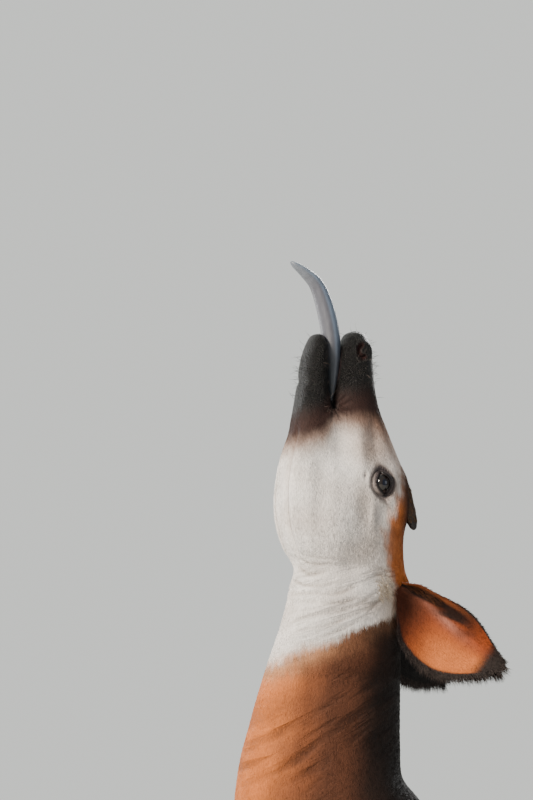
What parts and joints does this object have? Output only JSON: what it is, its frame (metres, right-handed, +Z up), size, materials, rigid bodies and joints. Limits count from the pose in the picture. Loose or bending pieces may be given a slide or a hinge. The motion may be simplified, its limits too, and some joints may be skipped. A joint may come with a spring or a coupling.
{
  "type": "okapi",
  "caption": "Life-size standing okapi with its neck raised, its muzzle pointing straight up and its long tongue stretched out, as a still museum-like animal model.",
  "frame": {"origin": "on the floor, under the middle of the animal's own box", "axes": "+Z up, the animal faces -X, its left side is at -Y"},
  "size_m": [1.2818, 0.5248, 2.602],
  "materials": {
    "coat_pale": "short smooth hair, matte",
    "coat_chestnut": "short hair with a soft sheen",
    "coat_chocolate": "short hair with a soft sheen",
    "coat_striped_legs": "short hair, matte, striped above",
    "ear_rust": "thin-haired skin, matte",
    "tail_dark": "short hair and a tuft of long hair, matte",
    "tongue": "moist, satin",
    "eye": "wet, glossy",
    "horn": "worn horn, satin",
    "hoof": "worn hoof, satin"
  },
  "bodies": {
    "root": {"head": "coat_pale", "neck": "coat_chestnut", "torso": "coat_chocolate", "tail": "tail_dark", "tongue": "tongue", "eye_left": "eye", "ear_left": "ear_rust", "ossicone_left": "horn", "eye_right": "eye", "ear_right": "ear_rust", "ossicone_right": "horn", "foreleg_left": "coat_striped_legs", "hoof_fore_left_inner": "hoof", "hoof_fore_left_outer": "hoof", "foreleg_right": "coat_striped_legs", "hoof_fore_right_inner": "hoof", "hoof_fore_right_outer": "hoof", "hindleg_left": "coat_striped_legs", "hoof_hind_left_inner": "hoof", "hoof_hind_left_outer": "hoof", "hindleg_right": "coat_striped_legs", "hoof_hind_right_inner": "hoof", "hoof_hind_right_outer": "hoof"}
  },
  "joints": []
}
